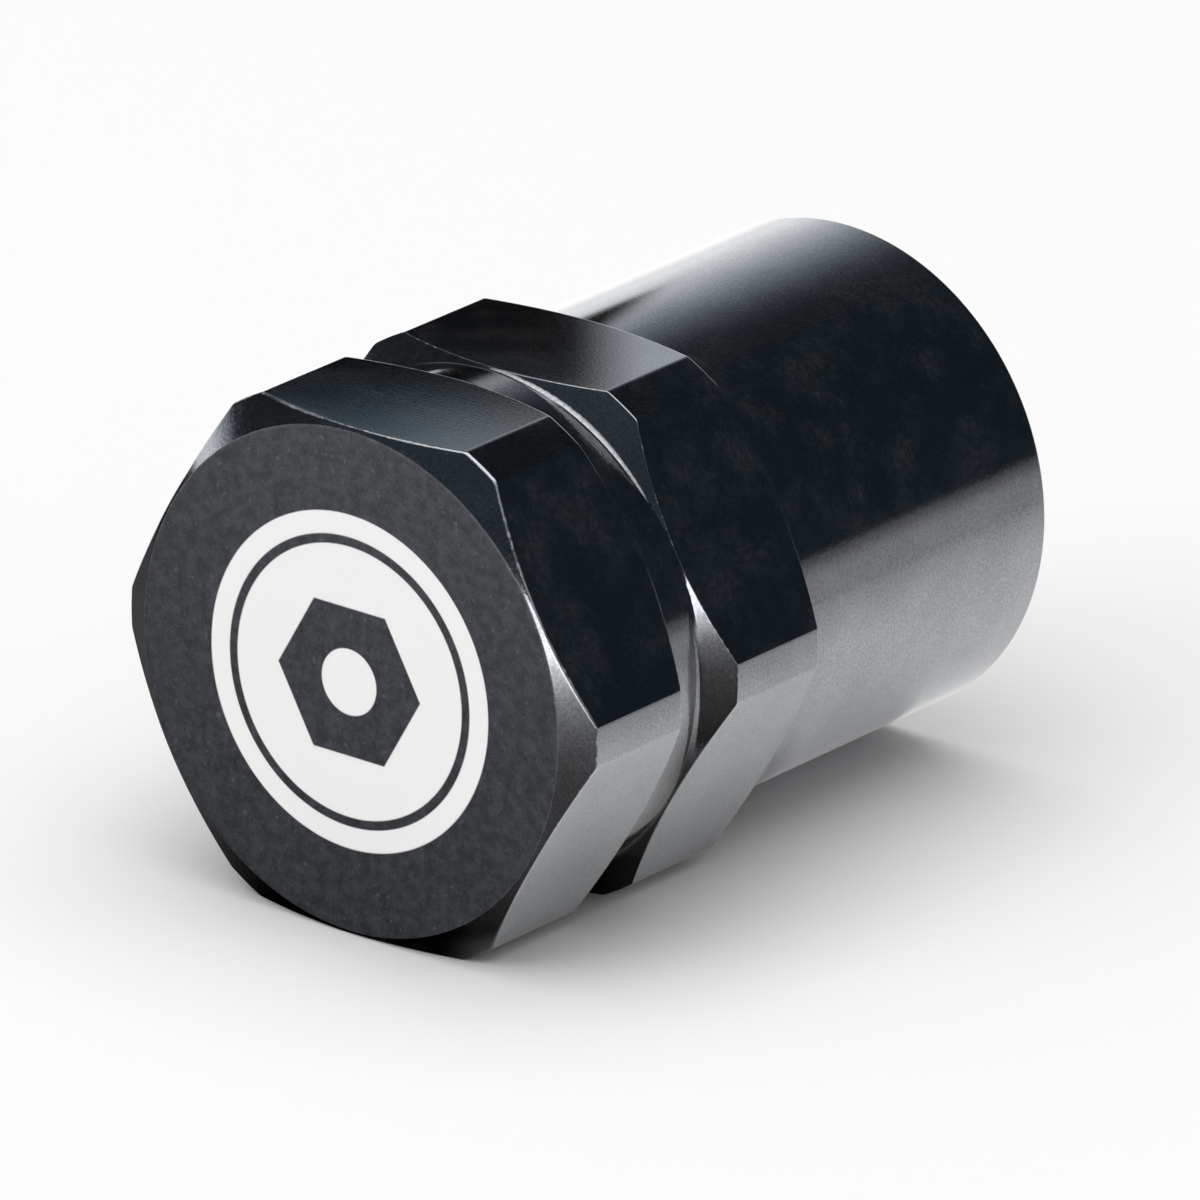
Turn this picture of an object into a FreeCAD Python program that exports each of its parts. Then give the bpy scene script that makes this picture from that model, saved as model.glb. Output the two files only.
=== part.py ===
# Hexagonal screw-on cap for a tyre valve, lying on one of its flats.
# Millimetres. The turning axis runs along Y: the closed head face is at the low end,
# the open mouth at the high end. The part rests on Z = 0, midway along its length.
import FreeCAD, Part
import math
import os

# bar stock and turned outer form
acrossFlats = 12.0
cornerDiameter = 13.34      # the bar is turned, so each hex corner is a narrow cylinder strip
overallLength = 17.7
faceDiameter = 11.78
faceChamferAngle = 30.0     # degrees from the head face

# the two wrench bands and the groove between them
frontBandWidth = 2.94
rearBandWidth = 2.86
grooveWidth = 1.0
grooveDiameter = 11.9
grooveBevelAngle = 35.0     # degrees from the head face
skirtBevelAngle = 30.0      # degrees from the head face

# skirt that covers the valve's rubber neck
skirtDiameter = 11.64
skirtWall = 0.47
skirtDepth = 8.7
rimOuterBreak = 0.08
rimInnerBreak = 0.12

# inside: valve thread cut down to its crests, relief pocket and drill point
threadMinorDiameter = 6.95
threadLength = 4.9
leadInDiameter = 8.1
pocketDiameter = 7.9
pocketDepth = 1.6
drillPointDiameter = 3.2
drillPointAngle = 118.0     # degrees, full angle of the drill's tip

# rubber seal trapped in the relief pocket
sealFit = 0.05              # radial gap between the seal and the pocket wall
sealThickness = 1.4
sealHoleDiameter = 4.2
sealEdgeRadius = 0.15

xAxis = FreeCAD.Vector(1, 0, 0)
yAxis = FreeCAD.Vector(0, 1, 0)


def rise(outerDiameter, innerDiameter, angle):
    # length along the axis of a bevel between two diameters
    return (outerDiameter - innerDiameter) / 2 * math.tan(math.radians(angle))


# stations along the axis, measured from the head face
faceChamferEnd = rise(cornerDiameter, faceDiameter, faceChamferAngle)
grooveBevel = rise(cornerDiameter, grooveDiameter, grooveBevelAngle)
frontBandEnd = faceChamferEnd + frontBandWidth
grooveStart = frontBandEnd + grooveBevel
grooveEnd = grooveStart + grooveWidth
rearBandStart = grooveEnd + grooveBevel
rearBandEnd = rearBandStart + rearBandWidth
skirtStart = rearBandEnd + rise(cornerDiameter, skirtDiameter, skirtBevelAngle)

# stations of the inside, worked out from the mouth towards the head
mouthDiameter = skirtDiameter - 2 * skirtWall
skirtFloor = overallLength - skirtDepth
threadStart = skirtFloor - (leadInDiameter - threadMinorDiameter) / 2
pocketMouth = threadStart - threadLength
pocketFloor = pocketMouth - pocketDepth


def place(shape):
    # head face to the low end of Y, lowest flat to Z = 0
    shape.translate(FreeCAD.Vector(0, -overallLength / 2, acrossFlats / 2))
    return shape


def turned(profile):
    # solid of revolution about Y from (station, radius) points that begin and end on the axis
    points = [FreeCAD.Vector(radius, station, 0) for station, radius in profile]
    face = Part.Face(Part.makePolygon(points + points[:1]))
    return face.revolve(FreeCAD.Vector(0, 0, 0), yAxis, 360)


def turnedBlank():
    # outer form as the lathe leaves it, before the flats limit it
    corner = cornerDiameter / 2
    skirt = skirtDiameter / 2
    return turned([
        (0, 0),
        (0, faceDiameter / 2),
        (faceChamferEnd, corner),
        (frontBandEnd, corner),
        (grooveStart, grooveDiameter / 2),
        (grooveEnd, grooveDiameter / 2),
        (rearBandStart, corner),
        (rearBandEnd, corner),
        (skirtStart, skirt),
        (overallLength - rimOuterBreak, skirt),
        (overallLength, skirt - rimOuterBreak),
        (overallLength, 0),
    ])


def hexBar():
    # hexagonal bar stock with one flat down, its corners left and right along X
    reach = acrossFlats / 2 / math.cos(math.radians(30))
    corners = []
    for index in range(6):
        turn = math.radians(60 * index)
        corners.append(FreeCAD.Vector(reach * math.cos(turn), 0, reach * math.sin(turn)))
    face = Part.Face(Part.makePolygon(corners + corners[:1]))
    return face.extrude(yAxis * overallLength)


def boredInside():
    # everything that is drilled and bored out from the mouth
    mouth = mouthDiameter / 2
    thread = threadMinorDiameter / 2
    point = drillPointDiameter / 2
    pointDepth = point / math.tan(math.radians(drillPointAngle / 2))
    return turned([
        (pocketFloor - pointDepth, 0),
        (pocketFloor, point),
        (pocketFloor, pocketDiameter / 2),
        (pocketMouth, pocketDiameter / 2),
        (pocketMouth, thread),
        (threadStart, thread),
        (skirtFloor, leadInDiameter / 2),
        (skirtFloor, mouth),
        (overallLength - rimInnerBreak, mouth),
        (overallLength, mouth + rimInnerBreak),
        (overallLength, 0),
    ])


def capBody():
    # hex bar turned to the outer form, then bored from the mouth
    return place(hexBar().common(turnedBlank()).cut(boredInside()))


def sealRing():
    # flat rubber ring with rounded edges, seated on the pocket floor
    outer = pocketDiameter / 2 - sealFit
    blank = Part.makeCylinder(outer, sealThickness, yAxis * pocketFloor, yAxis)
    hole = Part.makeCylinder(sealHoleDiameter / 2, sealThickness, yAxis * pocketFloor, yAxis)
    ring = blank.cut(hole)
    rims = [edge for edge in ring.Edges if isinstance(edge.Curve, Part.Circle)]
    return place(ring.makeFillet(sealEdgeRadius, rims))


def main():
    os.makedirs("parts", exist_ok=True)
    for name, shape in (("cap_body", capBody()), ("seal_ring", sealRing())):
        solid = shape.removeSplitter().Solids[0]
        print(name, "valid", solid.isValid(), "volume", round(solid.Volume, 2), "mm3", len(solid.Faces), "faces")
        solid.exportStep("parts/" + name + ".step")


main()
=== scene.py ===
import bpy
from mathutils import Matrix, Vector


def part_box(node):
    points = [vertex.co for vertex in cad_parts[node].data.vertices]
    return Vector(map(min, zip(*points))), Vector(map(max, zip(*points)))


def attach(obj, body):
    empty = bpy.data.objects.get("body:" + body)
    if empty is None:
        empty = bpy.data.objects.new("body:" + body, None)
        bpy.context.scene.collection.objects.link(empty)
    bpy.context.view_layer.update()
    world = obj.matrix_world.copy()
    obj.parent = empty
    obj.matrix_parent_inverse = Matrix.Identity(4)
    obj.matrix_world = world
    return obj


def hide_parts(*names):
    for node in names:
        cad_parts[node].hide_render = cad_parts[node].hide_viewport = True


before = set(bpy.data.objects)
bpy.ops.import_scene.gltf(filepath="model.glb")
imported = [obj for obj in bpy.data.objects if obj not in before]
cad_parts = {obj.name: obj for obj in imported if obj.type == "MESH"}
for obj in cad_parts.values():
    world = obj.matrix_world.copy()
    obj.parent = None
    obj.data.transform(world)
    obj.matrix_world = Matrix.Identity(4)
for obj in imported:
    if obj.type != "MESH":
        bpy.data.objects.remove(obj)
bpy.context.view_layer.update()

import math
import bpy
import numpy as np
from mathutils import Matrix, Vector

# sizes are millimetres here, and points become metres in place()
mm = 0.001
bodyLow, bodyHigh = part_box("cap_body")
sealLow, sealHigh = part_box("seal_ring")
length = (bodyHigh.y - bodyLow.y) / mm          # from the head face to the rim
apothem = (bodyHigh.z - bodyLow.z) / mm / 2     # half the size across the flats
cornerRadius = (bodyHigh.x - bodyLow.x) / mm / 2
print("frame: length %.2f, across flats %.2f, corners %.2f" % (length, 2 * apothem, 2 * cornerRadius))


# mesh helpers

def tangent(degrees):
    return math.tan(math.radians(degrees))


def place(station, radius, turn):
    # x = r sin(turn), y = station - length / 2, z = apothem + r cos(turn), in metres
    return np.stack([radius * np.sin(turn), station - length / 2, apothem + radius * np.cos(turn)], -1) * mm


def gridFaces(rows, columns, closeRows=False):
    # quads between neighbours of a rows by columns grid, the columns joined round
    row = np.arange(rows if closeRows else rows - 1)[:, None] * columns
    below = (row + columns) % (rows * columns)
    column = np.arange(columns)[None, :]
    beside = (column + 1) % columns
    return np.stack([row + column, row + beside, below + beside, below + column], -1).reshape(-1, 4)


def fanFaces(pole, ring, turned):
    # triangles from a pole to a ring of points
    after = np.roll(ring, -1)
    pair = (after, ring) if turned else (ring, after)
    return np.stack([np.full(len(ring), pole), *pair], -1)


def makeMesh(name, points, *faceSets):
    faces = []
    for faceSet in faceSets:
        faces.extend(np.asarray(faceSet).tolist())
    mesh = bpy.data.meshes.new(name)
    mesh.from_pydata(points.tolist(), [], faces)
    mesh.validate()
    mesh.polygons.foreach_set("use_smooth", np.ones(len(mesh.polygons), bool))
    mesh.update()
    piece = bpy.data.objects.new(name, mesh)
    bpy.context.scene.collection.objects.link(piece)
    print("%s: %d points, %d faces" % (name, len(mesh.vertices), len(mesh.polygons)))
    return piece


def faceOutwards(piece):
    # the signed volume tells whether the faces point out
    mesh = piece.data
    mesh.calc_loop_triangles()
    corner = np.empty(len(mesh.vertices) * 3)
    mesh.vertices.foreach_get("co", corner)
    corner = corner.reshape(-1, 3)
    triangle = np.empty(len(mesh.loop_triangles) * 3, int)
    mesh.loop_triangles.foreach_get("vertices", triangle)
    a, b, c = corner[triangle.reshape(-1, 3)].transpose(1, 0, 2)
    volume = np.einsum("ij,ij->i", a, np.cross(b, c)).sum() / 6
    if volume < 0:
        mesh.flip_normals()
    print("%s: %d triangles, %.1f cubic mm" % (piece.name, len(triangle) // 3, abs(volume) / mm ** 3))


def softMin(a, b, blend):
    # the smaller of two values, eased over a band where they differ by less than blend
    share = np.clip(0.5 + 0.5 * (b - a) / blend, 0, 1)
    return b * (1 - share) + a * share - blend * share * (1 - share)


def edgeRows(corner, back, ahead, width, most, steps=5, past=1.5):
    # a rounded edge: corner + back w (1 - t)^2 + ahead w t^2 with t from 0 to 1, back and ahead being unit
    # directions and w the width, but never more than the share most of the shorter face
    # one more row at past w on each side keeps the shading of the long faces flat
    backLength = np.linalg.norm(back, axis=-1, keepdims=True)
    aheadLength = np.linalg.norm(ahead, axis=-1, keepdims=True)
    reach = np.minimum(width, most * np.minimum(backLength, aheadLength))
    back, ahead = back / backLength * reach, ahead / aheadLength * reach
    t = np.linspace(0, 1, steps)[:, None, None]
    curve = corner + back * (1 - t) ** 2 + ahead * t ** 2
    weight = [0.0] + list(np.sin(math.pi * t.ravel())) + [0.0]
    return np.concatenate([[corner + back * past], curve, [corner + ahead * past]]), weight


def bevelRows(station, low, top, angle, nose, direction, steps=12):
    # a turned cylinder of radius low that climbs to radius top: first along the tool's nose, an arc of
    # radius nose through 90 - angle degrees, then straight at the bevel's angle from the head face
    # direction is 1 where stations grow on the way up, and -1 where they shrink
    lean, turnThrough = math.radians(angle), math.radians(90 - angle)
    lift = nose * (1 - math.cos(turnThrough))
    height = top - low
    inArc = nose * np.arccos(1 - np.minimum(height, lift) / nose)
    reach = inArc + np.maximum(height - lift, 0) / math.cos(lean)
    # rows lie closer together in the arc, and the last but one stays 0.08 mm short of the top
    share = (np.linspace(0, 1, steps) ** 1.5)[:, None]
    run = share * (reach - np.minimum(0.08, 0.4 * reach))
    run = np.concatenate([run, reach[None, :]])
    turned = np.minimum(run / nose, turnThrough)
    straight = np.maximum(run - nose * turnThrough, 0)
    along = nose * (np.sin(turned) - math.tan(turnThrough / 2)) + straight * math.sin(lean)
    up = nose * (1 - np.cos(turned)) + straight * math.cos(lean)
    # one more row, 0.04 mm back on the cylinder, keeps its shading straight
    along = np.concatenate([along[:1] - 0.04, along])
    up = np.concatenate([up[:1], up])
    return np.stack([station + direction * along, low + up], -1)


# the cap's body: turned and milled bar, bored, with a real thread inside

body = {
    "faceDiameter": 11.78, "faceChamferAngle": 30.0,
    "frontBandWidth": 2.94, "rearBandWidth": 2.86,
    "grooveWidth": 1.0, "grooveDiameter": 11.9, "grooveBevelAngle": 35.0,
    "skirtDiameter": 11.64, "skirtBevelAngle": 30.0, "skirtWall": 0.47, "skirtDepth": 8.7,
    "rimOuterBreak": 0.08, "rimInnerBreak": 0.12,
    "threadMinorDiameter": 6.95, "threadMajorDiameter": 7.75, "threadPitch": 25.4 / 32, "threadLength": 4.9,
    "threadCrest": 0.25, "threadRoot": 0.125,       # flats at the crest and the root, in shares of the pitch
    "leadInDiameter": 8.1, "pocketDiameter": 7.9, "pocketDepth": 1.6, "pocketCorner": 0.1,
    "drillPointDiameter": 3.2, "drillPointAngle": 118.0,
    "toolNose": 0.16,           # radius left in the groove's corners and at the foot of the skirt
    "cornerBlend": 0.03,        # how softly the flats meet the corner strips
    "columnsPerFlat": 24, "rowsPerPitch": 20,
}
# each edge's reach and how much of its anodising is rubbed off
edges = {
    "face": (0.0315, 0.22),
    "frontBandFront": (0.06075, 1.0), "frontBandBack": (0.045, 0.25),
    "rearBandFront": (0.0225, 0.6), "rearBandBack": (0.027, 0.12),
    "rim": (0.03, 0.3), "skirtFloor": (0.12, 0.3),
}


def bodyColumns():
    # turns round the axis: even over each flat, close together where a flat meets its corner strip
    stripHalf = math.radians(30) - math.acos(apothem / cornerRadius)
    flatEdge = math.radians(30) - stripHalf
    spread = 2 * body["cornerBlend"] / (cornerRadius * math.tan(flatEdge))
    fan = np.array([-1.5, -1, -0.6, -0.3, 0, 0.3, 0.6, 1, 1.5]) * spread / 2
    flat = np.linspace(-flatEdge + 0.9 * spread, flatEdge - 0.9 * spread, body["columnsPerFlat"] + 1)
    strip = math.radians(30) + np.linspace(-stripHalf, stripHalf, 7)[2:-2]
    sector = np.sort(np.concatenate([flat, flatEdge + fan, strip, math.radians(60) - flatEdge + fan]))
    return (sector[None, :] + np.radians(60 * np.arange(6))[:, None]).ravel()


def bodyStations():
    # stations along the axis from the head face, worked out from the sizes
    face, groove, skirt = body["faceDiameter"] / 2, body["grooveDiameter"] / 2, body["skirtDiameter"] / 2
    grooveRise = (cornerRadius - groove) * tangent(body["grooveBevelAngle"])
    at = {"chamferEnd": (cornerRadius - face) * tangent(body["faceChamferAngle"])}
    at["grooveStart"] = at["chamferEnd"] + body["frontBandWidth"] + grooveRise
    at["grooveEnd"] = at["grooveStart"] + body["grooveWidth"]
    at["rearEnd"] = at["grooveEnd"] + grooveRise + body["rearBandWidth"]
    at["skirtStart"] = at["rearEnd"] + (cornerRadius - skirt) * tangent(body["skirtBevelAngle"])
    at["skirtFloor"] = length - body["skirtDepth"]
    at["threadStart"] = at["skirtFloor"] - (body["leadInDiameter"] - body["threadMinorDiameter"]) / 2
    at["pocketMouth"] = at["threadStart"] - body["threadLength"]
    at["pocketFloor"] = at["pocketMouth"] - body["pocketDepth"]
    at["pointEnd"] = at["pocketFloor"] - body["drillPointDiameter"] / 2 / tangent(body["drillPointAngle"] / 2)
    return at


def bandRadius(turn):
    # the lesser of apothem / cos(turn from the flat's middle) and the corner radius
    fromFlat = (turn + math.radians(30)) % math.radians(60) - math.radians(30)
    return softMin(apothem / np.cos(fromFlat), np.full_like(turn, cornerRadius), body["cornerBlend"])


def outerRows(turn, at):
    # the outside from the head face to the mouth's wall, rows by columns of (station, radius)
    band = bandRadius(turn)
    face, groove, skirt = body["faceDiameter"] / 2, body["grooveDiameter"] / 2, body["skirtDiameter"] / 2
    mouth = skirt - body["skirtWall"]
    grooveAngle, nose = body["grooveBevelAngle"], body["toolNose"]
    down = bevelRows(at["grooveStart"], groove, band, grooveAngle, nose, -1)[::-1]
    up = bevelRows(at["grooveEnd"], groove, band, grooveAngle, nose, 1)
    foot = bevelRows(at["skirtStart"], skirt, band, body["skirtBevelAngle"], nose, -1)[::-1]

    def ring(station, radius):
        return np.stack([station + 0 * turn, radius + 0 * turn], -1)

    faceEdge = ring(0, face)
    bandFront = np.stack([(band - face) * tangent(body["faceChamferAngle"]), band], -1)
    rows, rubbed, nooks = [ring(0, 0.92 * face)], [0.0], [0.0]

    def addEdge(corner, before, after, name, nook=0.0, most=0.6):
        width, share = edges[name]
        points, weight = edgeRows(corner, before - corner, after - corner, width, most)
        rows.extend(points)
        rubbed.extend(share * w for w in weight)
        nooks.extend(np.linspace(nook, -nook, len(points)).clip(0))

    def addRows(points, nook=0.0):
        rows.extend(points)
        rubbed.extend([0.0] * len(points))
        nooks.extend([nook] * len(points))

    # the chamfer is narrow at the middle of a flat, so both of its edges share it
    addEdge(faceEdge, rows[0], bandFront, "face", most=0.26)
    addEdge(bandFront, faceEdge, down[0], "frontBandFront", most=0.26)
    addEdge(down[0], bandFront, down[1], "frontBandBack")
    # nook: how deep a row lies in the groove's corner, where painted shade darkens it
    addRows(down[2:], 0.4)
    addRows(up[:-2], 1.0)
    addEdge(up[-1], up[-2], foot[0], "rearBandFront", nook=1.0)
    addEdge(foot[0], up[-1], foot[1], "rearBandBack")
    addRows(foot[2:])
    rim = [ring(length - body["rimOuterBreak"], skirt), ring(length, skirt - body["rimOuterBreak"]),
           ring(length, mouth + body["rimInnerBreak"]), ring(length - body["rimInnerBreak"], mouth),
           ring(at["skirtFloor"], mouth), ring(at["skirtFloor"], body["leadInDiameter"] / 2)]
    before = rows[-1]
    for corner, after, name in zip(rim, rim[1:], ["rim"] * 4 + ["skirtFloor"]):
        addEdge(corner, before, after, name)
        before = corner
    addRows(rim[-1:])
    return np.stack(rows), {"rub": rubbed, "nook": nooks}


def threadRows(turn, at):
    # a vee of flats and flanks that winds right-handed: radius = minor + depth * share of the climb
    # between crest and root, never less than the lead-in cone
    pitch, minor = body["threadPitch"], body["threadMinorDiameter"] / 2
    depth = (body["threadMajorDiameter"] - body["threadMinorDiameter"]) / 2
    count = int(round((at["skirtFloor"] - at["pocketMouth"]) / pitch * body["rowsPerPitch"]))
    station = np.linspace(at["skirtFloor"], at["pocketMouth"], count + 1)[1:, None] * np.ones_like(turn)
    phase = (station / pitch - turn[None, :] / (2 * math.pi)) % 1
    climb = np.abs(2 * phase - 1)
    share = (climb - body["threadCrest"]) / (1 - body["threadCrest"] - body["threadRoot"])
    cone = minor + np.clip(station - at["threadStart"], 0, None)
    return np.stack([station, np.maximum(minor + depth * np.clip(share, 0, 1), cone)], -1)


def pocketRows(turn, at):
    # relief pocket and the drill's tip, with every corner a little round
    pocket, point, corner = body["pocketDiameter"] / 2, body["drillPointDiameter"] / 2, body["pocketCorner"]
    mouth, floor, tip = at["pocketMouth"], at["pocketFloor"], at["pointEnd"]
    profile = [
        (mouth, pocket), (mouth - 0.8 * corner, pocket),
        (floor + corner, pocket), (floor + 0.3 * corner, pocket - 0.3 * corner), (floor, pocket - corner),
        (floor, point + 0.5 * corner), (floor - 0.2 * corner, point - 0.1 * corner),
        ((floor + tip) / 2, point / 2),
    ]
    return np.array(profile)[:, None, :] + np.zeros((1, len(turn), 1))


def makeBody():
    # the rows of (station, radius) carried round the axis, closed by a pole at each end
    turn = bodyColumns()
    at = bodyStations()
    outer, shares = outerRows(turn, at)
    line = np.concatenate([outer, threadRows(turn, at), pocketRows(turn, at)])
    rows, columns = line.shape[:2]
    grid = place(line[:, :, 0], line[:, :, 1], turn[None, :]).reshape(-1, 3)
    poles = place(np.array([0.0, at["pointEnd"]]), np.zeros(2), np.zeros(2))
    first, last = np.arange(columns), np.arange(columns) + (rows - 1) * columns
    piece = makeMesh("capBody", np.concatenate([grid, poles]), gridFaces(rows, columns),
                     fanFaces(rows * columns, first, True), fanFaces(rows * columns + 1, last, False))
    for name, values in shares.items():
        spread = np.zeros(rows * columns + 2, np.float32)
        spread[:len(values) * columns] = np.repeat(values, columns)
        piece.data.attributes.new(name, "FLOAT", "POINT").data.foreach_set("value", spread)
    return piece


# the rubber seal at the blind end of the bore

seal = {"holeDiameter": 4.2, "edgeRadius": 0.15, "columns": 160, "arcSteps": 6}


def makeSeal():
    # a rectangle with quarter round corners, carried round the axis
    start, end = (sealLow.y / mm + length / 2), (sealHigh.y / mm + length / 2)
    outer = (sealHigh.x - sealLow.x) / mm / 2
    inner = seal["holeDiameter"] / 2
    r = seal["edgeRadius"]
    centres = [(end - r, outer - r), (end - r, inner + r), (start + r, inner + r), (start + r, outer - r)]
    arc = np.linspace(0, math.pi / 2, seal["arcSteps"])
    angle = arc[None, :] + np.arange(4)[:, None] * math.pi / 2
    section = np.array(centres)[:, None, :] + r * np.stack([np.sin(angle), np.cos(angle)], -1)
    station, radius = section.reshape(-1, 2).T[:, :, None]
    turn = np.linspace(0, 2 * math.pi, seal["columns"], endpoint=False)
    grid = place(station + 0 * turn, radius, turn[None, :])
    return makeMesh("sealRing", grid.reshape(-1, 3), gridFaces(len(station), len(turn), closeRows=True))


# material helpers

def newMaterial(name):
    material = bpy.data.materials.new(name)
    material.use_nodes = True
    return material, material.node_tree, material.node_tree.nodes["Principled BSDF"]


def feed(tree, socket, value):
    # numbers and colours are set on the socket itself, and another node's output is linked to it
    if isinstance(value, (int, float, tuple)):
        socket.default_value = value
    else:
        tree.links.new(value, socket)


def addNode(tree, kind, inputs=(), **settings):
    node = tree.nodes.new(kind)
    for key, value in settings.items():
        setattr(node, key, value)
    for key, value in dict(inputs).items():
        feed(tree, node.inputs[key], value)
    return node


def ownPoint(tree, scale=1.0, shift=(0.0, 0.0, 0.0)):
    # the piece's own coordinates times scale plus shift, whole and split into x, y and z
    point = addNode(tree, "ShaderNodeTexCoord").outputs["Object"]
    moved = addNode(tree, "ShaderNodeMapping", {"Vector": point, "Location": shift, "Scale": (scale,) * 3},
                    vector_type="POINT").outputs[0]
    return moved, addNode(tree, "ShaderNodeSeparateXYZ", {"Vector": moved}).outputs


def maths(tree, operation, *values, clamp=False):
    return addNode(tree, "ShaderNodeMath", enumerate(values), operation=operation, use_clamp=clamp).outputs[0]


def product(tree, first, *others):
    for other in others:
        first = maths(tree, "MULTIPLY", first, other)
    return first


def ramp(tree, value, start, end, toLow=0.0, toHigh=1.0):
    # eases from toLow to toHigh while the value goes from start to end
    inputs = enumerate((value, start, end, toLow, toHigh))
    return addNode(tree, "ShaderNodeMapRange", inputs, interpolation_type="SMOOTHSTEP").outputs[0]


def within(tree, value, edge, soft):
    # 1 below the edge and 0 above it
    return ramp(tree, value, edge - soft, edge + soft, 1.0, 0.0)


def noise(tree, vector, scale, detail, roughness):
    inputs = {"Vector": vector, "Scale": scale, "Detail": detail, "Roughness": roughness}
    return addNode(tree, "ShaderNodeTexNoise", inputs).outputs["Fac"]


def lines(tree, value, pitch):
    # noise along one value only, as a lathe leaves it
    inputs = {"W": maths(tree, "DIVIDE", value, pitch), "Scale": 1.0, "Detail": 2.0}
    return addNode(tree, "ShaderNodeTexNoise", inputs, noise_dimensions="1D").outputs["Fac"]


def mixValue(tree, share, first, second):
    return addNode(tree, "ShaderNodeMix", {0: share, 2: first, 3: second}).outputs[0]


def mixColour(tree, share, first, second):
    return addNode(tree, "ShaderNodeMix", {0: share, 6: first, 7: second}, data_type="RGBA").outputs[2]


def bump(tree, height, strength, distance):
    inputs = {"Height": height, "Strength": strength, "Distance": distance}
    return addNode(tree, "ShaderNodeBump", inputs).outputs[0]


# black anodising, with the face's fine turning, the satin grain of the bar and the white print

anodise = {
    "tone": (0.25, 0.257, 0.268, 1),        # how much light the dyed metal gives back
    "faceTone": (0.0505, 0.0545, 0.0635, 1),
    "wornTone": (0.52, 0.53, 0.55, 1),      # where edges are rubbed thin
    "insideTone": (0.12, 0.125, 0.135, 1),
    "roughness": 0.1, "faceRoughness": 0.42, "insideRoughness": 0.3, "wornRoughness": 0.5,
    "printRoughness": 0.15,                 # added where the print lies
    "faceDull": 0.7, "wornDull": 0.35, "dust": 0.045,    # shares that scatter light instead of mirroring it
    "grain": (1 / 0.06, 2.0, 0.6),          # noise: scale per mm, detail and roughness
    "grainHeight": 0.0009, "turningHeight": 0.0006, "ringHeight": 0.004, "printHeight": 0.008,
    "turningPitch": 0.055, "ringPitch": 0.13,
    # spans that a value runs through, with what it becomes at either end: by the grain
    "grainTint": (0.3, 0.7, 0.82, 1.18), "grainRoughness": (0.3, 0.7, -0.02, 0.03),
    # by distance from the head face, inwards from the mouth's wall, and from the rim
    "faceDepth": (0.004, 0.02, 1.0, 0.0), "insideDepth": (0.6, 0.9), "insideWall": (0.02, 0.06, 1.0, 0.0),
    # painted shade: a thin dark band along the rim
    "paintedRimShade": (0.04, 0.1, 0.35, 1.0),
    # by height over the axis: less is rubbed below, which paints shade there, and at the top, and painted
    # shade sits low in the groove
    "rubShadedBelow": (-3.0, 1.0, 0.3, 1.0), "rubAbove": (3.8, 5.4, 1.0, 0.74),
    "grooveShade": (-2.2, 0.3, 0.93, 0.0), "lowGrooveShade": (-4.8, -2.8, 0.97, 0.0),
    "lowShadeNook": (0.0, 0.3),             # by how deep in the groove's corner
    "wornThrough": (0.05, 0.85, 0.0, 0.75),     # by the rubbing itself
}
# patches of noise: scale per mm, detail and roughness, then the span of it and what it becomes
patches = {
    "cloud": ((1 / 1.4, 2.0, 0.55), (0.3, 0.7, -0.05, 0.05)),
    "rubbed": ((1.1, 2.0, 0.6), (0.3, 0.65, 0.45, 0.85)),
    "chip": ((7.0, 2.0, 0.6), (0.52, 0.64, 0.0, 0.6)),
    "smudge": ((0.8, 5.0, 0.65), (0.42, 0.75)),
    "brokenSmudge": ((7.0, 3.0, 0.7), (0.3, 0.8, 0.2, 1.8)),
    "faceMottle": ((3.2, 4.0, 0.75), (0.36, 0.64, -0.3, 0.3)),
    "faceSpeck": ((5.5, 1.5, 0.5), (0.62, 0.76)),
}
mark = {
    "white": (0.93, 0.93, 0.925, 1), "radius": 3.95, "gapOuter": 3.42, "gapInner": 3.2,
    "hexApothem": 1.75, "dotRadius": 0.78, "soft": 0.02,
}


def patch(tree, point, name):
    texture, span = patches[name]
    return ramp(tree, noise(tree, point, *texture), *span)


def printMask(tree, x, z, radius):
    # the white mark: a disc with a thin dark ring in it, a dark hexagon and a dot in the middle
    soft = mark["soft"]
    across = maths(tree, "ABSOLUTE", z)
    for side in (-1, 1):
        slant = maths(tree, "MULTIPLY_ADD", x, side * math.sqrt(0.75), maths(tree, "MULTIPLY", z, 0.5))
        across = maths(tree, "MAXIMUM", across, maths(tree, "ABSOLUTE", slant))
    hexagon = within(tree, across, mark["hexApothem"], soft)
    gap = maths(tree, "SUBTRACT", within(tree, radius, mark["gapOuter"], soft),
                within(tree, radius, mark["gapInner"], soft))
    disc = within(tree, radius, mark["radius"], soft)
    shape = product(tree, disc, maths(tree, "SUBTRACT", 1.0, hexagon), maths(tree, "SUBTRACT", 1.0, gap))
    return maths(tree, "MAXIMUM", shape, within(tree, radius, mark["dotRadius"], soft))


def wornMask(tree, point, z):
    # bare metal at the rubbed edges, in patches and chips
    rub = addNode(tree, "ShaderNodeAttribute", attribute_name="rub").outputs["Fac"]
    # the rubbed marks fade out low down, which paints shade there, and thin out at the top
    rub = product(tree, rub, ramp(tree, z, *anodise["rubShadedBelow"]), ramp(tree, z, *anodise["rubAbove"]))
    uneven = maths(tree, "ADD", patch(tree, point, "rubbed"), patch(tree, point, "chip"))
    return ramp(tree, maths(tree, "MULTIPLY", rub, uneven, clamp=True), *anodise["wornThrough"])


def paintedGrooveShade(tree, z):
    # painted shade in the groove, darker in its corner and towards the bottom
    nook = addNode(tree, "ShaderNodeAttribute", attribute_name="nook").outputs["Fac"]
    upper = product(tree, nook, ramp(tree, z, *anodise["grooveShade"]))
    lower = product(tree, ramp(tree, nook, *anodise["lowShadeNook"]), ramp(tree, z, *anodise["lowGrooveShade"]))
    return maths(tree, "MAXIMUM", upper, lower)


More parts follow.
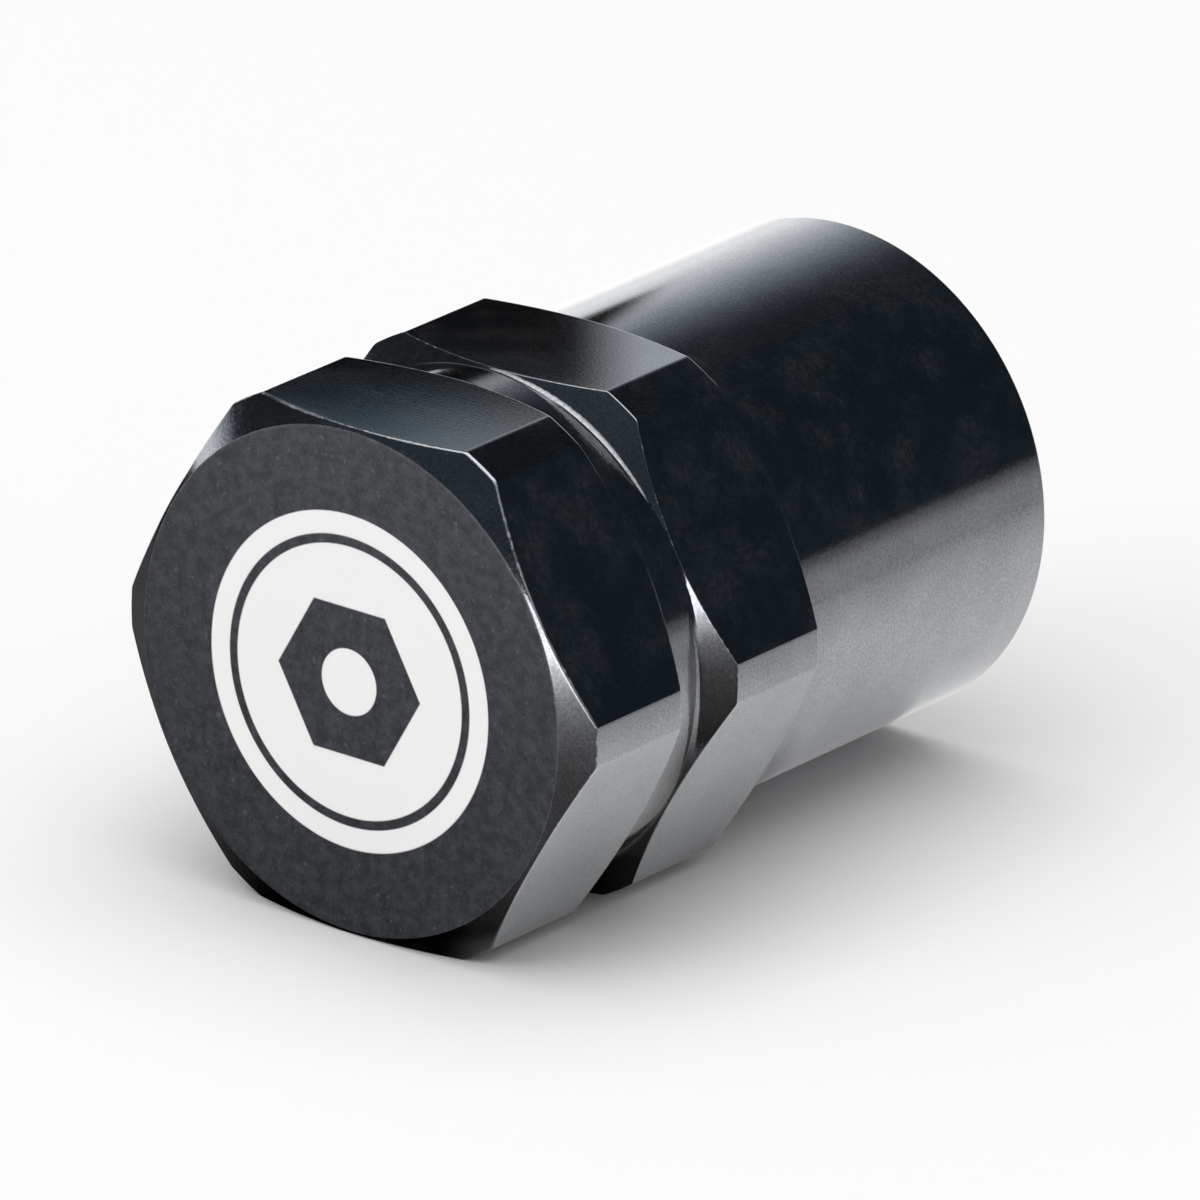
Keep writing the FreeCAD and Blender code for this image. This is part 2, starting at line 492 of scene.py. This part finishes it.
def makeAnodise():
    material, tree, shader = newMaterial("blackAnodising")
    # the axis brought to the middle, in millimetres
    centred, (x, station, z) = ownPoint(tree, 1 / mm, (0.0, length / 2, -apothem))
    radius = maths(tree, "MULTIPLY_ADD", x, x, product(tree, z, z))
    radius = maths(tree, "SQRT", radius)
    onFace = ramp(tree, station, *anodise["faceDepth"])
    mouth = body["skirtDiameter"] / 2 - body["skirtWall"]
    inside = product(tree, ramp(tree, maths(tree, "SUBTRACT", radius, mouth), *anodise["insideWall"]),
                     ramp(tree, station, *anodise["insideDepth"]))
    printed = product(tree, printMask(tree, x, z, radius), onFace)
    worn = wornMask(tree, centred, z)
    smudge = product(tree, patch(tree, centred, "smudge"), patch(tree, centred, "brokenSmudge"))
    fine = noise(tree, centred, *anodise["grain"])

    dark = mixColour(tree, onFace, anodise["tone"], anodise["faceTone"])
    dark = mixColour(tree, inside, dark, anodise["insideTone"])
    tint = maths(tree, "ADD", ramp(tree, fine, *anodise["grainTint"]), patch(tree, centred, "cloud"))
    # painted shade darkens the groove's corner and its lower part
    tint = product(tree, tint, maths(tree, "SUBTRACT", 1.0, paintedGrooveShade(tree, z)))
    uneven = maths(tree, "ADD", patch(tree, centred, "faceMottle"), patch(tree, centred, "faceSpeck"))
    tint = maths(tree, "MULTIPLY_ADD", uneven, onFace, tint)
    # painted shade: the tone darkens in a thin band along the rim
    fromRim = maths(tree, "SUBTRACT", length, station)
    tint = product(tree, tint, ramp(tree, fromRim, *anodise["paintedRimShade"]))
    tinted = addNode(tree, "ShaderNodeVectorMath", {0: dark, "Scale": tint}, operation="SCALE").outputs[0]
    tinted = mixColour(tree, worn, tinted, anodise["wornTone"])
    feed(tree, shader.inputs["Base Color"], mixColour(tree, printed, tinted, mark["white"]))

    dull = maths(tree, "MAXIMUM", product(tree, onFace, anodise["faceDull"]),
                 product(tree, worn, anodise["wornDull"]))
    dull = maths(tree, "MAXIMUM", maths(tree, "MULTIPLY_ADD", smudge, anodise["dust"], dull), printed)
    feed(tree, shader.inputs["Metallic"], maths(tree, "SUBTRACT", 1.0, dull, clamp=True))

    rough = mixValue(tree, onFace, anodise["roughness"], anodise["faceRoughness"])
    rough = mixValue(tree, inside, rough, anodise["insideRoughness"])
    rough = maths(tree, "ADD", rough, ramp(tree, fine, *anodise["grainRoughness"]))
    rough = mixValue(tree, worn, rough, anodise["wornRoughness"])
    rough = maths(tree, "MULTIPLY_ADD", printed, anodise["printRoughness"], rough)
    feed(tree, shader.inputs["Roughness"], rough)

    # heights in millimetres: grain everywhere, lines where the lathe cut, and the print a little proud
    height = product(tree, lines(tree, station, anodise["turningPitch"]), anodise["turningHeight"])
    height = maths(tree, "MULTIPLY_ADD", fine, anodise["grainHeight"], height)
    rings = product(tree, lines(tree, radius, anodise["ringPitch"]), onFace)
    height = maths(tree, "MULTIPLY_ADD", rings, anodise["ringHeight"], height)
    height = maths(tree, "MULTIPLY_ADD", printed, anodise["printHeight"], height)
    feed(tree, shader.inputs["Normal"], bump(tree, height, 1.0, mm))
    return material


rubber = {
    "dark": (0.012, 0.012, 0.013, 1), "bloomed": (0.035, 0.035, 0.036, 1),
    "grain": (9.0, 4.0, 0.7), "bloom": (0.9, 3.0, 0.5),         # noises, as above
    "bloomSpan": (0.35, 0.7), "grainRoughness": (0.3, 0.7, 0.5, 0.68),
    "grainHeight": 0.02, "grainStrength": 0.35,
}


def makeRubber():
    material, tree, shader = newMaterial("sealRubber")
    point, _ = ownPoint(tree, 1 / mm)
    fine = noise(tree, point, *rubber["grain"])
    bloom = ramp(tree, noise(tree, point, *rubber["bloom"]), *rubber["bloomSpan"])
    feed(tree, shader.inputs["Base Color"], mixColour(tree, bloom, rubber["dark"], rubber["bloomed"]))
    feed(tree, shader.inputs["Roughness"], ramp(tree, fine, *rubber["grainRoughness"]))
    feed(tree, shader.inputs["Normal"], bump(tree, fine, rubber["grainStrength"], rubber["grainHeight"] * mm))
    return material


# stage: pale floor, soft light, and cards that only reflections see

studio = {"floorTone": 0.885, "floorHalf": 6.0, "worldLight": 0.52}
lamps = {
    "overheadLamp": {"size": 0.97, "power": 3.15, "spot": (0.03, -0.03, 0.62)},
    "frontFill": {"size": 0.4, "power": 0.75, "spot": (-0.25, -0.55, 0.35), "inReflections": False},
}
# painted light and shade on the floor, which only reflections see: each row says from where to where, in mm,
# and the tone at either end
paintedFloor = {
    "side": (3, 26, 1.42, 0.62), "far": (26, 110, 1.0, 0.4194),         # by x
    "back": (-8, 14, 1.0, 0.82),                                        # by y
    # painted shade: black where the bands touch it and a little dark beside them, by the distance from the
    # axis and by y
    "contact": (2.3, 4.2, 0.02, 1.0), "contactEnd": (-2.5, 0.5),
    "beside": (3.4, 6.0, 0.68, 1.03), "besideEnd": (1.5, 4.5),
    # painted shade to the left of the head, by x and by y at either end
    "left": (-3.0, -0.5, 1.0, 0.0), "leftEnd": (-3.0, 2.0, 1.0, 0.0), "leftFront": (-11.5, -9.5),
    "leftTone": 0.07,
    # painted shade in front of the head face, by the distance from it towards an azimuth
    "frontAzimuth": 160.0, "behindFace": (-0.3, 1.2),
    "shade": (8, 55, 0.08, 1.0), "foot": (0.3, 4.5, 0.25, 1.0), "out": (30, 80, 1.0, 2.5),
    # painted light: in reflections the floor also glows by this share of its tone
    "lift": 0.12,           # share that the cap's own shadow doesn't reach
}
cool = (0.62, 0.84, 1.0, 1)
plain = (0.98, 0.99, 1.0, 1)
deep = (0.54, 0.8, 1.0, 1)
mild = (0.74, 0.86, 1.0, 1)
# painted reflections: these cards glow only in reflections, the glint card for the chamfer's glint, the
# others for bright and dark surroundings
# each card's span in azimuth (0 is +Y, 90 is +X), the elevations between which its glow changes, and its tone
# and colour below and above them
cards = {
    "backRightCard": {"azimuth": (-7, 130), "fade": (0, 40), "tone": (0.047, 0.042), "colour": (deep, deep)},
    "backLeftCard": {"azimuth": (-62, -7), "fade": (3.4, 41), "tone": (1.5, 0.045), "colour": (plain, mild)},
    "leftCard": {"azimuth": (-130, -62), "fade": (3.5, 10), "tone": (1.9, 0.045), "colour": (plain, mild)},
    "frontLeftCard": {"azimuth": (-180, -130), "fade": (0, 40), "tone": (0.06, 0.12), "colour": (cool, cool)},
    "frontCard": {"azimuth": (130, 180), "fade": (0, 40), "tone": (0.06, 0.12), "colour": (cool, cool)},
    "glintCard": {"azimuth": (134, 174), "fade": (0, 40), "tone": (3.8, 3.8), "colour": (plain, plain),
                  "radius": 0.12, "head": 13.36},
}
# painted reflection: a small soft flag, which only reflections see, behind the cap on the left, in mm, that
# keeps the upper flats dark: sides run across it, and the upper part glows a little, more towards the right
topFlag = {
    "azimuth": -38.5, "distance": 22, "left": -11, "right": 0.2, "foot": 15, "head": 28, "soft": 1.0,
    "tone": 0.001, "upperHeight": (22.45, 23.25), "upperGlow": (-6.5, -2.5, 0.34, 0.64),
    "coolSide": (-6.0, 0.0),
}
# painted reflection: a level dark flag above the cap, which only reflections see, in mm, that keeps the glint
# in the groove's corner narrow
grooveFlag = {"corners": ((-2, 1.8), (18, 6), (18, 20), (-2, 20)), "height": 33, "tone": 0.03}


def finishStage(piece, material, surface, onlyInReflections=True):
    # a stage piece, for the cards and flags one that only reflections see
    tree = material.node_tree
    tree.nodes.remove(tree.nodes["Principled BSDF"])
    tree.links.new(surface, tree.nodes["Material Output"].inputs["Surface"])
    piece.data.materials.append(material)
    if onlyInReflections:
        for ray in ("camera", "diffuse", "transmission", "volume_scatter", "shadow"):
            setattr(piece, "visible_" + ray, False)


def emission(tree, strength, colour=(1.0, 1.0, 1.0, 1.0)):
    return addNode(tree, "ShaderNodeEmission", {"Strength": strength, "Color": colour}).outputs[0]


def paintedFloorTone(tree, x, y):
    # painted light and shade: the tone that reflections see, for a place on the floor in mm
    def tone(value, name):
        return ramp(tree, value, *paintedFloor[name])

    azimuth = math.radians(paintedFloor["frontAzimuth"])
    fromFace = maths(tree, "ADD", y, length / 2)
    ahead = maths(tree, "MULTIPLY_ADD", x, math.sin(azimuth), product(tree, fromFace, math.cos(azimuth)))
    shade = product(tree, tone(ahead, "shade"), tone(ahead, "foot"), tone(ahead, "out"))
    front = mixValue(tree, tone(fromFace, "behindFace"), shade, 1.0)
    fromAxis = maths(tree, "ABSOLUTE", x)
    contact = maths(tree, "MAXIMUM", tone(fromAxis, "contact"), tone(y, "contactEnd"))
    beside = maths(tree, "MAXIMUM", tone(fromAxis, "beside"), tone(y, "besideEnd"))
    left = product(tree, tone(x, "left"), tone(y, "leftEnd"), tone(y, "leftFront"))
    left = maths(tree, "MULTIPLY_ADD", left, paintedFloor["leftTone"] - 1.0, 1.0)
    return product(tree, tone(x, "side"), tone(x, "far"), tone(y, "back"), front, contact, beside, left)


def makeFloor():
    half = studio["floorHalf"]
    corners = np.array([(-half, -half, 0), (half, -half, 0), (half, half, 0), (-half, half, 0)])
    floor = makeMesh("floor", corners, [(0, 1, 2, 3)])
    material, tree, _ = newMaterial("palePaper")
    _, (x, y, _) = ownPoint(tree, 1 / mm)
    glossy = addNode(tree, "ShaderNodeLightPath").outputs["Is Glossy Ray"]
    # reflections see the floor in painted light and shade, with a painted glow added
    inReflections = paintedFloorTone(tree, x, y)
    tone = mixValue(tree, glossy, studio["floorTone"], inReflections)
    paper = addNode(tree, "ShaderNodeBsdfDiffuse", {"Color": tone}).outputs[0]
    glow = emission(tree, product(tree, inReflections, paintedFloor["lift"], glossy))
    both = addNode(tree, "ShaderNodeAddShader", {0: paper, 1: glow}).outputs[0]
    finishStage(floor, material, both, onlyInReflections=False)


def makeCard(name, azimuth, fade, tone, colour, radius=0.6, head=62, foot=0.0005, steps=24):
    # part of an upright cylinder round the cap, in metres: x = R sin a, y = R cos a, z from the foot just
    # over the floor up to the head's elevation
    turn = np.radians(np.linspace(*azimuth, steps + 1))
    ring = np.stack([radius * np.sin(turn), radius * np.cos(turn), foot + 0 * turn], -1)
    upperRing = ring * [1, 1, 0] + [0, 0, radius * tangent(head)]
    below = np.arange(steps)
    above = below + steps + 1
    faces = np.stack([below, below + 1, above + 1, above], -1)
    card = makeMesh(name, np.concatenate([ring, upperRing]), faces)
    material, tree, _ = newMaterial(name)
    _, (_, _, z) = ownPoint(tree)
    share = ramp(tree, z, radius * tangent(fade[0]), radius * tangent(fade[1]))
    # the glow is a painted reflection, since only reflections see the card
    glow = emission(tree, mixValue(tree, share, *tone), mixColour(tree, share, *colour))
    finishStage(card, material, glow)


def makeTopFlag():
    # an upright rectangle square to its azimuth, see-through where its mask fades out
    azimuth = math.radians(topFlag["azimuth"])
    outward = np.array([math.sin(azimuth), math.cos(azimuth), 0])
    across = np.array([math.cos(azimuth), -math.sin(azimuth), 0])
    left, right, foot, head, soft = (topFlag[key] for key in ("left", "right", "foot", "head", "soft"))
    corners = np.array([(left, foot), (right + soft, foot), (right + soft, head), (left, head)])
    points = outward * topFlag["distance"] + across * corners[:, :1] + np.array([0, 0, 1]) * corners[:, 1:]
    flag = makeMesh("topFlag", points * mm, [(0, 1, 2, 3)])
    material, tree, _ = newMaterial("topFlag")
    _, (x, y, z) = ownPoint(tree, 1 / mm)
    side = maths(tree, "MULTIPLY_ADD", x, float(across[0]), product(tree, y, float(across[1])))
    mask = product(tree, within(tree, side, right, soft), ramp(tree, z, foot, foot + soft),
                   ramp(tree, z, head - 2 * soft, head, 1.0, 0.0), ramp(tree, side, left, left + 2 * soft))
    upper = product(tree, ramp(tree, z, *topFlag["upperHeight"]), ramp(tree, side, *topFlag["upperGlow"]))
    colour = mixColour(tree, ramp(tree, side, *topFlag["coolSide"]), cool, plain)
    glow = emission(tree, maths(tree, "ADD", upper, topFlag["tone"]), colour)
    clear = addNode(tree, "ShaderNodeBsdfTransparent").outputs[0]
    finishStage(flag, material, addNode(tree, "ShaderNodeMixShader", {0: mask, 1: clear, 2: glow}).outputs[0])


def makeGrooveFlag():
    corners = [(x, y, grooveFlag["height"]) for x, y in grooveFlag["corners"]]
    flag = makeMesh("grooveFlag", np.array(corners) * mm, [(0, 1, 2, 3)])
    material, tree, _ = newMaterial("grooveFlag")
    finishStage(flag, material, emission(tree, grooveFlag["tone"], cool))


def makeLamp(name, size, power, spot, inReflections=True):
    data = bpy.data.lights.new(name, "AREA")
    data.shape = "DISK"
    data.size = size
    data.energy = power
    lamp = bpy.data.objects.new(name, data)
    bpy.context.scene.collection.objects.link(lamp)
    lamp.location = spot
    lamp.rotation_euler = (-Vector(spot)).to_track_quat("-Z", "Y").to_euler()
    lamp.visible_glossy = inReflections


def makeWorld():
    # white where the camera or a reflection looks, a softer light for everything else
    world = bpy.data.worlds.new("studio")
    world.use_nodes = True
    bpy.context.scene.world = world
    tree = world.node_tree
    path = addNode(tree, "ShaderNodeLightPath").outputs
    seen = maths(tree, "MAXIMUM", path["Is Glossy Ray"], path["Is Transmission Ray"])
    seen = maths(tree, "MAXIMUM", path["Is Camera Ray"], seen)
    background = tree.nodes["Background"]
    feed(tree, background.inputs["Strength"], mixValue(tree, seen, studio["worldLight"], 1.0))
    feed(tree, background.inputs["Color"], (1.0, 1.0, 1.0, 1.0))


# camera: where the photograph was taken from, aimed at the cap with a longer lens

view = {
    "place": (0.23289, -0.29238, 0.15105), "target": (0.0, 0.0, 0.0053),
    "lens": 537.0, "sensor": 36.0, "rollDegrees": 0.53, "clip": (0.01, 50.0),
}


def makeCamera():
    data = bpy.data.cameras.new("camera")
    data.lens = view["lens"]
    data.sensor_width = view["sensor"]
    data.clip_start, data.clip_end = view["clip"]
    camera = bpy.data.objects.new("camera", data)
    bpy.context.scene.collection.objects.link(camera)
    camera.location = view["place"]
    aim = (Vector(view["target"]) - Vector(view["place"])).to_track_quat("-Z", "Y").to_matrix().to_4x4()
    aim = aim @ Matrix.Rotation(math.radians(view["rollDegrees"]), 4, "Z")
    camera.rotation_euler = aim.to_euler()
    bpy.context.scene.camera = camera


bpy.context.scene.view_settings.view_transform = "Standard"
makeCamera()
makeWorld()
makeFloor()
for name, card in cards.items():
    makeCard(name, **card)
makeTopFlag()
makeGrooveFlag()
for name, lamp in lamps.items():
    makeLamp(name, **lamp)
print("stage ready")

capBody = makeBody()
faceOutwards(capBody)
capBody.data.materials.append(makeAnodise())
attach(capBody, "root")
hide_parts("cap_body")

sealRing = makeSeal()
faceOutwards(sealRing)
sealRing.data.materials.append(makeRubber())
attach(sealRing, "root")
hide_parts("seal_ring")
print("pieces ready")
